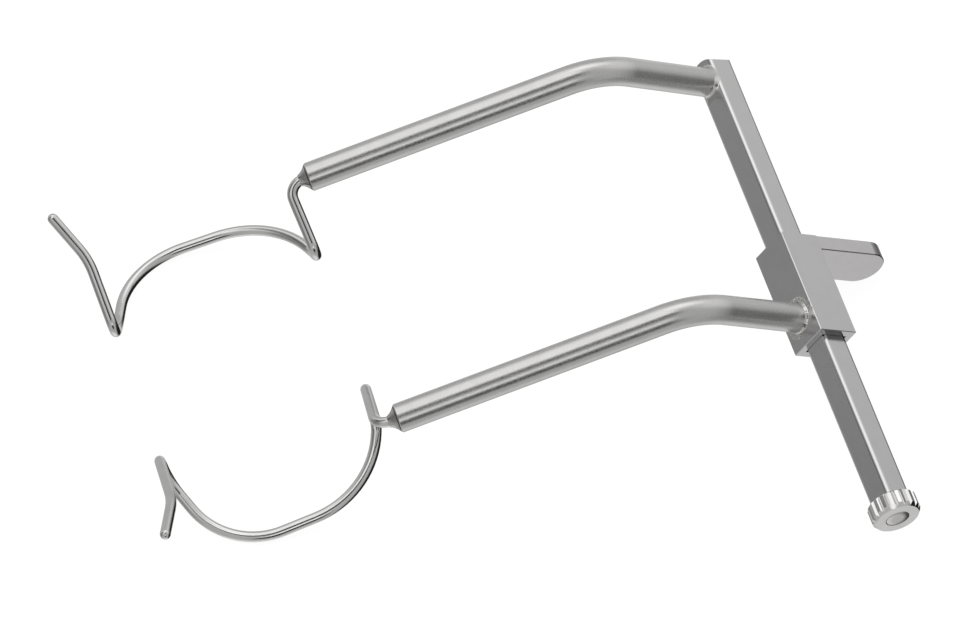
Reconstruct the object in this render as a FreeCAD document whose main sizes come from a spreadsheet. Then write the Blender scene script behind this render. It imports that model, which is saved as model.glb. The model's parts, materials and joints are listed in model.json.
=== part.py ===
import FreeCAD
import Part
import Sketcher
import math
import os

# Wire eye speculum with a screw drive, in millimetres.
# The pieces are drawn on a bench frame: +Y runs along the rail from its solid end to the knob,
# +X is the side on which the arms leave, and +Z is the face that is turned up on a tray.
# At the end the whole assembly is tilted as it lies on a tray and centred over its foot.

doc = FreeCAD.newDocument("eye_speculum")
dims = doc.addObject("Spreadsheet::Sheet", "dims")

driving_dimensions = [
    # Rail: a square bar, milled from below for the screw, solid at the end of the fixed arm.
    ("rail_width", 2.6),
    ("rail_length", 47.2),
    ("rail_edge_round", 0.38),
    ("rail_end_stock", 0.5),
    ("rail_end_radius", 2.2),
    ("rail_end_centre", 1.87),
    ("rail_end_drop", 0.2),
    ("rail_end_slant", 5.1),
    ("rail_end_break", 0.06),
    ("channel_width", 1.6),
    ("channel_roof_wall", 0.5),
    ("channel_length", 37.8),
    # Lead screw and what holds it in the rail.
    ("screw_diameter", 1.1),
    ("screw_clearance", 0.03),
    ("journal_diameter", 0.7),
    ("journal_length", 1.2),
    ("screw_head_diameter", 2.04),
    ("screw_head_height", 0.5),
    ("screw_head_crown", 0.06),
    ("bearing_length", 2.4),
    ("collar_diameter", 1.48),
    ("collar_length", 0.6),
    ("collar_play", 0.04),
    ("washer_diameter", 2.3),
    ("washer_thickness", 0.12),
    ("washer_play", 0.03),
    # Knob: a short fluted drum with a cone down to its flat outer face.
    ("knob_diameter", 4.4),
    ("knob_length", 1.65),
    ("knob_cone_length", 0.35),
    ("knob_face_diameter", 3.9),
    ("knob_inner_break", 0.12),
    ("knob_counterbore_gap", 0.05),
    ("flute_count", 20),
    ("flute_depth", 0.2),
    ("flute_width", 0.38),
    # Slider: a square sleeve on the rail.
    ("slider_width", 4.05),
    ("slider_length", 10.5),
    ("slider_edge_break", 0.06),
    ("slider_end_break", 0.05),
    ("slider_start", 20.1),
    ("slide_clearance", 0.03),
    # Drive nut in the channel, pinned through the slider's lower wall.
    ("nut_length", 4.0),
    ("nut_side_clearance", 0.04),
    ("nut_pin_diameter", 0.9),
    ("nut_pin_engagement", 0.56),
    # Thumb rest: a round-ended plate across the end of the slider.
    ("thumb_reach", 8.2),
    ("thumb_thickness", 1.5),
    ("thumb_edge_break", 0.08),
    ("thumb_bead", 0.25),
    # Arms: round rods with one knee.
    ("arm_diameter", 2.6),
    ("arm_rise", 0.72),
    ("arm_reach", 13.6),
    ("arm_drop", 43.7),
    ("knee_radius", 7.8),
    ("forearm_length", 27.4),
    ("fixed_arm_setback", 2.05),
    ("moving_arm_setback", 2.62),
    ("arm_tip_break", 0.08),
    ("fixed_arm_bead_leg", 0.36),
    ("moving_arm_bead_leg", 0.28),
    ("arm_bead_gap", 0.03),
    # Blades: bent wires brazed into the arm tips.
    ("wire_diameter", 0.95),
    ("socket_depth", 2.0),
    ("socket_clearance", 0.03),
    ("root_cone_length", 0.85),
    ("root_cone_lip", 0.05),
    ("root_bend_reach", 1.95),
    ("root_bend_radius", 1.36),
    ("blade_width", 18.9),
    ("near_limb_reach", 1.68),
    ("near_hook_height", 6.11),
    ("near_hook_drop", 2.99),
    ("far_hook_height", 6.37),
    ("far_hook_drop", 2.64),
    ("hook_radius", 1.0),
    ("near_limb_inset", 0.23),
    ("near_limb_height", 3.71),
    ("near_limb_drop", 6.18),
    ("near_limb_radius", 1.7),
    ("far_limb_inset", 0.07),
    ("far_limb_height", 4.89),
    ("far_limb_drop", 5.01),
    ("far_limb_radius", 4.0),
    ("bow_drop", 7.47),
    ("near_corner_inset", 2.5),
    ("near_corner_depth", 1.99),
    ("near_corner_radius", 8.3),
    ("far_corner_inset", 2.79),
    ("far_corner_depth", 2.42),
    ("far_corner_radius", 7.0),
    ("leg_slope", 24.2),
    ("leg_length", 6.84),
    ("leg_knee_radius", 7.0),
    # The last bend is set by hand, so the two blades differ a little there.
    ("fixed_tip_length", 4.78),
    ("fixed_tip_turn", 20.6),
    ("moving_tip_length", 4.45),
    ("moving_tip_turn", 18.4),
]
for row, (alias, number) in enumerate(driving_dimensions, start=1):
    dims.set("A%d" % row, alias)
    dims.set("B%d" % row, str(number))
    dims.setAlias("B%d" % row, alias)
doc.recompute()

X_AXIS = FreeCAD.Vector(1, 0, 0)
Y_AXIS = FreeCAD.Vector(0, 1, 0)
Z_AXIS = FreeCAD.Vector(0, 0, 1)


def size(alias):
    """The number in the sheet's cell of that name."""
    return float(dims.get(alias))


def new_body(label):
    body = doc.addObject("PartDesign::Body", label)
    body.Label = label
    return body


def origin_plane(body, role):
    return [feature for feature in body.Origin.OriginFeatures if feature.Role == role][0]


def new_sketch(body, name, role, away=None):
    """A sketch on one of the body's own origin planes, moved off it by an expression."""
    sketch = body.newObject("Sketcher::SketchObject", name)
    sketch.AttachmentSupport = [(origin_plane(body, role), "")]
    sketch.MapMode = "FlatFace"
    if away:
        sketch.setExpression("AttachmentOffset.Base.z", away)
    return sketch


def hold(sketch, expression, *constraint):
    """Add one dimension to a sketch and tie it to the sheet."""
    index = sketch.addConstraint(Sketcher.Constraint(*constraint))
    name = "size_%d" % index
    sketch.renameConstraint(index, name)
    sketch.setExpression("Constraints." + name, expression)


def outline(sketch, corners):
    """A closed outline of straight sides through (x, y, x expression, y expression) corners."""
    count = len(corners)
    for i in range(count):
        start = FreeCAD.Vector(corners[i][0], corners[i][1], 0)
        end = FreeCAD.Vector(corners[(i + 1) % count][0], corners[(i + 1) % count][1], 0)
        sketch.addGeometry(Part.LineSegment(start, end), False)
    for i in range(count):
        sketch.addConstraint(Sketcher.Constraint("Coincident", i, 2, (i + 1) % count, 1))
    for i, (x, y, x_expression, y_expression) in enumerate(corners):
        hold(sketch, x_expression, "DistanceX", -1, 1, i, 1, x)
        hold(sketch, y_expression, "DistanceY", -1, 1, i, 1, y)


def centred_square(sketch, width, expression):
    """A square of the given width about the sketch's origin."""
    half = width / 2
    plus = "(%s) / 2" % expression
    minus = "-(%s) / 2" % expression
    outline(sketch, [(-half, -half, minus, minus), (half, -half, plus, minus),
                     (half, half, plus, plus), (-half, half, minus, plus)])


def circle(sketch, radius, expression):
    """A circle about the sketch's origin."""
    index = sketch.addGeometry(Part.Circle(FreeCAD.Vector(0, 0, 0), Z_AXIS, radius), False)
    sketch.addConstraint(Sketcher.Constraint("Coincident", index, 3, -1, 1))
    hold(sketch, expression, "Radius", index, radius)


def pad(body, name, sketch, expression, reverse):
    feature = body.newObject("PartDesign::Pad", name)
    feature.Profile = sketch
    feature.Reversed = reverse
    feature.setExpression("Length", expression)
    doc.recompute()
    return feature


def pocket(body, name, sketch, expression, reverse, both_ways=False):
    """Cut a sketch to a depth, and make sure that it did cut."""
    before = body.Shape.Volume
    feature = body.newObject("PartDesign::Pocket", name)
    feature.Profile = sketch
    feature.Reversed = reverse
    feature.Midplane = both_ways
    feature.setExpression("Length", expression)
    doc.recompute()
    if not body.Shape.Volume < before - 1e-6:
        raise ValueError(name + " cuts nothing")
    return feature


def edges_where(shape, wanted):
    """Names of the edges that a test picks."""
    return ["Edge%d" % (i + 1) for i, edge in enumerate(shape.Edges) if wanted(edge)]


def runs_along(edge, axis):
    """True for a straight edge that runs along an axis."""
    if edge.Curve.TypeId != "Part::GeomLine":
        return False
    return abs(abs(edge.Curve.Direction.dot(axis)) - 1) < 1e-6


def dress(body, kind, name, base, names, expression):
    """A chamfer or fillet of some of a feature's edges."""
    feature = body.newObject("PartDesign::" + kind, name)
    feature.Base = (base, names)
    feature.setExpression("Radius" if kind == "Fillet" else "Size", expression)
    doc.recompute()
    return feature


def revolve(body, name, sketch, axis_name):
    """Turn a sketch a full turn about its own horizontal or vertical axis."""
    feature = body.newObject("PartDesign::Revolution", name)
    feature.Profile = sketch
    feature.ReferenceAxis = (sketch, [axis_name])
    feature.Angle = 360
    doc.recompute()
    return feature


# Sizes that several pieces share, as expressions on the sheet
HALF_RAIL = "dims.rail_width / 2"
HALF_SLIDER = "dims.slider_width / 2"
ROOF = "(dims.rail_width / 2 - dims.channel_roof_wall)"
CHANNEL_START = "(dims.rail_length - dims.channel_length)"
SLEEVE_HOLE = "dims.rail_width + 2 * dims.slide_clearance"
SCREW_RADIUS = "dims.screw_diameter / 2"
SCREW_HOLE = "dims.screw_diameter / 2 + dims.screw_clearance"
KNOB_START = "(dims.rail_length + dims.washer_thickness + dims.washer_play)"
NUT_START = "(dims.slider_start + (dims.slider_length - dims.nut_length) / 2)"

half_rail = size("rail_width") / 2
half_slider = size("slider_width") / 2
roof = half_rail - size("channel_roof_wall")
channel_start = size("rail_length") - size("channel_length")
sleeve_hole = size("rail_width") + 2 * size("slide_clearance")
screw_radius = size("screw_diameter") / 2
screw_hole = screw_radius + size("screw_clearance")
knob_start = size("rail_length") + size("washer_thickness") + size("washer_play")


def rail_section(sketch):
    """The rail's square section with its rounded corners: a side and a corner, four times round."""
    edge_round = size("rail_edge_round")
    flat = half_rail - edge_round
    for quarter in range(4):
        around = FreeCAD.Rotation(Z_AXIS, 90 * quarter)
        side_start = around.multVec(FreeCAD.Vector(half_rail, -flat, 0))
        side_end = around.multVec(FreeCAD.Vector(half_rail, flat, 0))
        sketch.addGeometry(Part.LineSegment(side_start, side_end), False)
        corner = Part.Circle(around.multVec(FreeCAD.Vector(flat, flat, 0)), Z_AXIS, edge_round)
        turned = quarter * math.pi / 2
        sketch.addGeometry(Part.ArcOfCircle(corner, turned, turned + math.pi / 2), False)
    for quarter in range(4):
        side = 2 * quarter
        corner = side + 1
        sketch.addConstraint(Sketcher.Constraint("Tangent", side, 2, corner, 1))
        sketch.addConstraint(Sketcher.Constraint("Tangent", corner, 2, (side + 2) % 8, 1))
        upright = quarter % 2 == 0
        sketch.addConstraint(Sketcher.Constraint("Vertical" if upright else "Horizontal", side))
        away = half_rail if quarter in (0, 1) else -half_rail
        away_text = HALF_RAIL if quarter in (0, 1) else "-" + HALF_RAIL
        hold(sketch, away_text, "DistanceX" if upright else "DistanceY", -1, 1, side, 1, away)
        hold(sketch, "dims.rail_edge_round", "Radius", corner, edge_round)


def make_rail():
    body = new_body("rail")
    section = new_sketch(body, "rail_section", "XZ_Plane", "dims.rail_end_stock")
    rail_section(section)
    pad(body, "rail_bar", section, "dims.rail_length + dims.rail_end_stock", True)
    # The end under the fixed arm is ground round about the arm's foot by hand,
    # so it is a little low and a little out of square.
    grind = new_sketch(body, "rail_end_outline", "YZ_Plane")
    grind.AttachmentOffset = FreeCAD.Placement(FreeCAD.Vector(0, 0, 0),
                                               FreeCAD.Rotation(Y_AXIS, size("rail_end_slant")))
    grind.setExpression("AttachmentOffset.Rotation.Angle", "dims.rail_end_slant * 1 deg")
    reach = size("rail_end_radius")
    middle = size("rail_end_centre")
    low = -size("rail_end_drop")
    round_end = Part.Circle(FreeCAD.Vector(middle, low, 0), Z_AXIS, reach)
    grind.addGeometry(Part.ArcOfCircle(round_end, math.pi / 2, 3 * math.pi / 2), False)
    past = middle - 2 * reach
    corners = [(middle, low - reach), (past, low - reach), (past, low + reach), (middle, low + reach)]
    for first, second in zip(corners[:-1], corners[1:]):
        grind.addGeometry(Part.LineSegment(FreeCAD.Vector(*first), FreeCAD.Vector(*second)), False)
    grind.addConstraint(Sketcher.Constraint("Tangent", 0, 2, 1, 1))
    grind.addConstraint(Sketcher.Constraint("Coincident", 1, 2, 2, 1))
    grind.addConstraint(Sketcher.Constraint("Coincident", 2, 2, 3, 1))
    grind.addConstraint(Sketcher.Constraint("Tangent", 3, 2, 0, 1))
    grind.addConstraint(Sketcher.Constraint("Horizontal", 1))
    grind.addConstraint(Sketcher.Constraint("Vertical", 2))
    hold(grind, "dims.rail_end_radius", "Radius", 0, reach)
    hold(grind, "dims.rail_end_centre", "DistanceX", -1, 1, 0, 3, middle)
    hold(grind, "-dims.rail_end_drop", "DistanceY", -1, 1, 0, 3, low)
    hold(grind, "dims.rail_end_centre - 2 * dims.rail_end_radius", "DistanceX", -1, 1, 1, 2, past)
    ground = pocket(body, "rail_end_grinding", grind, "2 * dims.rail_width", False, True)
    end_edges = edges_where(ground.Shape, lambda edge: edge.BoundBox.YMax < size("rail_end_centre"))
    dress(body, "Fillet", "rail_end_edges", ground, end_edges, "dims.rail_end_break")
    # The channel is milled from below, so its closed end keeps the cutter's radius.
    half = size("channel_width") / 2
    slot = new_sketch(body, "channel_outline", "XY_Plane", ROOF)
    start = channel_start + half
    end = size("rail_length") + size("rail_width")
    slot.addGeometry(Part.ArcOfCircle(Part.Circle(FreeCAD.Vector(0, start, 0), Z_AXIS, half),
                                      math.pi, 2 * math.pi), False)
    slot.addGeometry(Part.LineSegment(FreeCAD.Vector(half, start, 0), FreeCAD.Vector(half, end, 0)), False)
    slot.addGeometry(Part.LineSegment(FreeCAD.Vector(half, end, 0), FreeCAD.Vector(-half, end, 0)), False)
    slot.addGeometry(Part.LineSegment(FreeCAD.Vector(-half, end, 0), FreeCAD.Vector(-half, start, 0)), False)
    slot.addConstraint(Sketcher.Constraint("Tangent", 0, 2, 1, 1))
    slot.addConstraint(Sketcher.Constraint("Coincident", 1, 2, 2, 1))
    slot.addConstraint(Sketcher.Constraint("Coincident", 2, 2, 3, 1))
    slot.addConstraint(Sketcher.Constraint("Tangent", 3, 2, 0, 1))
    slot.addConstraint(Sketcher.Constraint("Vertical", 1))
    slot.addConstraint(Sketcher.Constraint("Horizontal", 2))
    slot.addConstraint(Sketcher.Constraint("PointOnObject", 0, 3, -2))
    hold(slot, "dims.channel_width / 2", "Radius", 0, half)
    hold(slot, CHANNEL_START + " + dims.channel_width / 2", "DistanceY", -1, 1, 0, 3, start)
    hold(slot, "dims.rail_length + dims.rail_width", "DistanceY", -1, 1, 1, 2, end)
    pocket(body, "channel", slot, "dims.rail_width", False)
    # A blind hole past the channel's end carries the screw's far journal.
    round_end = "(%s + dims.channel_width / 2)" % CHANNEL_START
    blind = new_sketch(body, "journal_hole_circle", "XZ_Plane", "-" + round_end)
    circle(blind, size("journal_diameter") / 2 + size("screw_clearance"),
           "dims.journal_diameter / 2 + dims.screw_clearance")
    pocket(body, "journal_hole", blind,
           "dims.channel_width / 2 + dims.journal_length + dims.collar_play", True)
    return body


def channel_block(body, name, start, length, half_width, half_expression,
                  low, low_expression, top, top_expression):
    """A block that fits in the rail's channel, bored for the screw."""
    section = new_sketch(body, name + "_section", "XZ_Plane", "-(%s)" % start)
    outline(section, [
        (-half_width, low, "-(%s)" % half_expression, low_expression),
        (half_width, low, half_expression, low_expression),
        (half_width, top, half_expression, top_expression),
        (-half_width, top, "-(%s)" % half_expression, top_expression)])
    index = section.addGeometry(Part.Circle(FreeCAD.Vector(0, 0, 0), Z_AXIS, screw_hole), False)
    section.addConstraint(Sketcher.Constraint("Coincident", index, 3, -1, 1))
    hold(section, SCREW_HOLE, "Radius", index, screw_hole)
    return pad(body, name + "_block", section, length, True)


def make_knob_bearing():
    """The block that closes the open end of the channel and carries the screw there."""
    body = new_body("knob_bearing")
    channel_block(body, "knob_bearing", "dims.rail_length - dims.bearing_length", "dims.bearing_length",
                  size("channel_width") / 2, "(dims.channel_width / 2)",
                  -half_rail, "-" + HALF_RAIL, roof, ROOF)
    return body


def pin_circle(sketch):
    """The round of the pin that ties the nut to the slider, half-way along the slider."""
    middle = size("slider_start") + size("slider_length") / 2
    radius = size("nut_pin_diameter") / 2
    index = sketch.addGeometry(Part.Circle(FreeCAD.Vector(0, middle, 0), Z_AXIS, radius), False)
    sketch.addConstraint(Sketcher.Constraint("PointOnObject", index, 3, -2))
    hold(sketch, "dims.slider_start + dims.slider_length / 2", "DistanceY", -1, 1, index, 3, middle)
    hold(sketch, "dims.nut_pin_diameter / 2", "Radius", index, radius)


def make_drive_nut():
    """The nut that runs on the screw inside the channel and stands on the slider's lower wall."""
    body = new_body("drive_nut")
    half = size("channel_width") / 2 - size("nut_side_clearance")
    floor = -sleeve_hole / 2
    channel_block(body, "drive_nut", NUT_START, "dims.nut_length",
                  half, "(dims.channel_width / 2 - dims.nut_side_clearance)",
                  floor, "-(%s) / 2" % SLEEVE_HOLE,
                  roof - size("nut_side_clearance"), ROOF + " - dims.nut_side_clearance")
    hole = new_sketch(body, "nut_pin_hole_circle", "XY_Plane", "-(%s) / 2" % SLEEVE_HOLE)
    pin_circle(hole)
    pocket(body, "nut_pin_hole", hole, "dims.nut_pin_engagement", True)
    return body


def make_nut_pin():
    """The pin that ties the nut to the slider, dressed flush with the slider's lower face."""
    body = new_body("nut_pin")
    section = new_sketch(body, "nut_pin_circle", "XY_Plane", "-" + HALF_SLIDER)
    pin_circle(section)
    pad(body, "nut_pin_shank", section,
        "(dims.slider_width - (%s)) / 2 + dims.nut_pin_engagement" % SLEEVE_HOLE, False)
    return body


def make_slider():
    """The square sleeve that slides on the rail."""
    body = new_body("slider_sleeve")
    section = new_sketch(body, "sleeve_section", "XZ_Plane", "-dims.slider_start")
    centred_square(section, size("slider_width"), "dims.slider_width")
    block = pad(body, "sleeve_block", section, "dims.slider_length", True)
    long_edges = edges_where(block.Shape, lambda edge: runs_along(edge, Y_AXIS))
    broken = dress(body, "Chamfer", "sleeve_edge_break", block, long_edges, "dims.slider_edge_break")
    # Only the end towards the knob is free. The other is ground flush with the thumb rest.
    free_end = size("slider_start") + size("slider_length")
    end_edges = edges_where(broken.Shape, lambda edge: edge.BoundBox.YMin > free_end - 1e-6)
    dress(body, "Chamfer", "sleeve_end_break", broken, end_edges, "dims.slider_end_break")
    hole = new_sketch(body, "sleeve_hole_section", "XZ_Plane", "-dims.slider_start")
    centred_square(hole, sleeve_hole, SLEEVE_HOLE)
    pocket(body, "sleeve_hole", hole, "dims.slider_length", False)
    pin = new_sketch(body, "sleeve_pin_circle", "XY_Plane", "-" + HALF_SLIDER)
    pin_circle(pin)
    pocket(body, "sleeve_pin_hole", pin, HALF_SLIDER, True)
    return body


def make_lead_screw():
    """The screw: far journal, threaded length and shank, and the head that shows in the knob."""
    body = new_body("lead_screw")
    profile = new_sketch(body, "lead_screw_profile", "XY_Plane")
    journal = size("journal_diameter") / 2
    head = size("screw_head_diameter") / 2
    tip = channel_start - size("journal_length")
    thread_start = channel_start + size("channel_width") / 2
    top = knob_start + size("knob_length")
    shoulder = top - size("screw_head_height")
    tip_text = CHANNEL_START + " - dims.journal_length"
    thread_text = CHANNEL_START + " + dims.channel_width / 2"
    top_text = KNOB_START + " + dims.knob_length"
    shoulder_text = top_text + " - dims.screw_head_height"
    head_text = "dims.screw_head_diameter / 2"
    outline(profile, [
        (0, tip, "0", tip_text),
        (journal, tip, "dims.journal_diameter / 2", tip_text),
        (journal, thread_start, "dims.journal_diameter / 2", thread_text),
        (screw_radius, thread_start, SCREW_RADIUS, thread_text),
        (screw_radius, shoulder, SCREW_RADIUS, shoulder_text),
        (head, shoulder, head_text, shoulder_text),
        (head, top - size("screw_head_crown"), head_text, top_text + " - dims.screw_head_crown"),
        (head - size("screw_head_crown"), top, head_text + " - dims.screw_head_crown", top_text),
        (0, top, "0", top_text)])
    revolve(body, "lead_screw_turned", profile, "V_Axis")
    return body


def make_screw_collar():
    """The collar brazed on the screw behind the bearing, which takes the opening load."""
    body = new_body("screw_collar")
    start_text = "(dims.rail_length - dims.bearing_length - dims.collar_play - dims.collar_length)"
    section = new_sketch(body, "collar_rings", "XZ_Plane", "-" + start_text)
    circle(section, size("collar_diameter") / 2, "dims.collar_diameter / 2")
    circle(section, screw_radius, SCREW_RADIUS)
    pad(body, "collar_ring", section, "dims.collar_length", True)
    return body


def make_thrust_washer():
    """The washer between the rail's end and the knob."""
    body = new_body("thrust_washer")
    section = new_sketch(body, "washer_rings", "XZ_Plane", "-dims.rail_length")
    circle(section, size("washer_diameter") / 2, "dims.washer_diameter / 2")
    circle(section, screw_hole, SCREW_HOLE)
    pad(body, "washer_ring", section, "dims.washer_thickness", True)
    return body


def make_knob():
    """The fluted knob: turned, counterbored for the screw's head, then fluted all round."""
    body = new_body("knob")
    profile = new_sketch(body, "knob_profile", "XY_Plane")
    radius = size("knob_diameter") / 2
    bore = size("screw_head_diameter") / 2 + size("knob_counterbore_gap")
    face_radius = size("knob_face_diameter") / 2
    face = knob_start + size("knob_length")
    seat = face - size("screw_head_height")
    inner_break = size("knob_inner_break")
    radius_text = "dims.knob_diameter / 2"
    bore_text = "dims.screw_head_diameter / 2 + dims.knob_counterbore_gap"
    face_text = KNOB_START + " + dims.knob_length"
    seat_text = face_text + " - dims.screw_head_height"
    broken_text = radius_text + " - dims.knob_inner_break"
    drum_text = KNOB_START + " + dims.knob_inner_break"
    outline(profile, [
        (screw_radius, knob_start, SCREW_RADIUS, KNOB_START),
        (radius - inner_break, knob_start, broken_text, KNOB_START),
        (radius, knob_start + inner_break, radius_text, drum_text),
        (radius, face - size("knob_cone_length"), radius_text, face_text + " - dims.knob_cone_length"),
        (face_radius, face, "dims.knob_face_diameter / 2", face_text),
        (bore, face, bore_text, face_text),
        (bore, seat, bore_text, seat_text),
        (screw_radius, seat, SCREW_RADIUS, seat_text)])
    revolve(body, "knob_turned", profile, "V_Axis")
    # One V-shaped flute, cut right through, and repeated round the rim.
    flute = new_sketch(body, "flute_section", "XZ_Plane", "-" + KNOB_START)
    half = size("flute_width") / 2
    over = radius + size("flute_depth")
    half_text = "dims.flute_width / 2"
    over_text = radius_text + " + dims.flute_depth"
    outline(flute, [
        (0, radius - size("flute_depth"), "0", radius_text + " - dims.flute_depth"),
        (2 * half, over, "2 * " + half_text, over_text),
        (-2 * half, over, "-2 * " + half_text, over_text)])
    first = pocket(body, "first_flute", flute, "dims.knob_length", False)
    ring = body.newObject("PartDesign::PolarPattern", "flutes")
    ring.Originals = [first]
    ring.Axis = (flute, ["N_Axis"])
    ring.Angle = 360
    ring.setExpression("Occurrences", "dims.flute_count")
    body.Tip = ring
    doc.recompute()
    return body


def make_thumb_rest():
    """The plate across the slider's end, flush with it on three sides and round at its tip."""
    body = new_body("thumb_rest")
    sketch = new_sketch(body, "thumb_outline", "XZ_Plane", "-dims.slider_start")
    radius = half_slider
    flat = half_slider - size("slider_edge_break")
    centre = -size("thumb_reach")
    # The root follows the slider's broken edges, so that the faces meet with no notch.
    points = [(centre, radius), (-flat, radius), (-radius, flat),
              (-radius, -flat), (-flat, -radius), (centre, -radius)]
    for first, second in zip(points[:-1], points[1:]):
        sketch.addGeometry(Part.LineSegment(FreeCAD.Vector(*first), FreeCAD.Vector(*second)), False)
    tip = Part.Circle(FreeCAD.Vector(centre, 0, 0), Z_AXIS, radius)
    sketch.addGeometry(Part.ArcOfCircle(tip, math.pi / 2, 3 * math.pi / 2), False)
    for i in range(4):
        sketch.addConstraint(Sketcher.Constraint("Coincident", i, 2, i + 1, 1))
    sketch.addConstraint(Sketcher.Constraint("Tangent", 4, 2, 5, 2))
    sketch.addConstraint(Sketcher.Constraint("Tangent", 5, 1, 0, 1))
    sketch.addConstraint(Sketcher.Constraint("Horizontal", 0))
    sketch.addConstraint(Sketcher.Constraint("Vertical", 2))
    sketch.addConstraint(Sketcher.Constraint("PointOnObject", 5, 3, -1))
    flat_text = "(dims.slider_width / 2 - dims.slider_edge_break)"
    hold(sketch, HALF_SLIDER, "Radius", 5, radius)
    hold(sketch, "-dims.thumb_reach", "DistanceX", -1, 1, 5, 3, centre)
    hold(sketch, "-" + flat_text, "DistanceX", -1, 1, 0, 2, -flat)
    hold(sketch, "-" + HALF_SLIDER, "DistanceX", -1, 1, 1, 2, -radius)
    hold(sketch, flat_text, "DistanceY", -1, 1, 1, 2, flat)
    hold(sketch, "-" + flat_text, "DistanceY", -1, 1, 2, 2, -flat)
    hold(sketch, "-" + flat_text, "DistanceX", -1, 1, 3, 2, -flat)
    plate = pad(body, "thumb_plate", sketch, "dims.thumb_thickness", True)
    rim = edges_where(plate.Shape, lambda edge: edge.Curve.TypeId == "Part::GeomCircle")
    dress(body, "Chamfer", "thumb_rim_break", plate, rim, "dims.thumb_edge_break")
    return body


def make_thumb_rest_bead():
    """The small fillet of braze in the corner between the thumb rest and the slider."""
    body = new_body("thumb_rest_bead")
    low_text = "-(dims.slider_width / 2 - dims.slider_edge_break)"
    section = new_sketch(body, "thumb_bead_section", "XY_Plane", low_text)
    leg = size("thumb_bead")
    wall = -half_slider
    face = size("slider_start") + size("thumb_thickness")
    wall_text = "-" + HALF_SLIDER
    face_text = "dims.slider_start + dims.thumb_thickness"
    outline(section, [
        (wall, face, wall_text, face_text),
        (wall, face + leg, wall_text, face_text + " + dims.thumb_bead"),
        (wall - leg, face, wall_text + " - dims.thumb_bead", face_text)])
    pad(body, "thumb_bead_fillet", section, "2 * (dims.slider_width / 2 - dims.slider_edge_break)", False)
    return body


# The arms lie in planes across the rail; their knee and their tip in such a plane
arm_drop = math.radians(size("arm_drop"))
ARM_AXIS = FreeCAD.Vector(math.cos(arm_drop), 0, -math.sin(arm_drop))
ARM_NORMAL = FreeCAD.Vector(-ARM_AXIS.z, 0, ARM_AXIS.x)
arm_radius = size("arm_diameter") / 2
rise_slope = math.tan(math.radians(size("arm_rise")))
knee = FreeCAD.Vector(size("arm_reach"), 0, size("arm_reach") * rise_slope)
KNEE_HEIGHT = "(dims.arm_reach * tan(dims.arm_rise * 1 deg))"
TIP_X = "(dims.arm_reach + dims.forearm_length * cos(dims.arm_drop * 1 deg))"
TIP_Z = "(%s - dims.forearm_length * sin(dims.arm_drop * 1 deg))" % KNEE_HEIGHT
arm_tip = knee + ARM_AXIS * size("forearm_length")
FIXED_ARM_Y = "dims.fixed_arm_setback"
MOVING_ARM_Y = "(dims.slider_start + dims.slider_length - dims.moving_arm_setback)"
fixed_arm_y = size("fixed_arm_setback")
moving_arm_y = size("slider_start") + size("slider_length") - size("moving_arm_setback")


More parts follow.
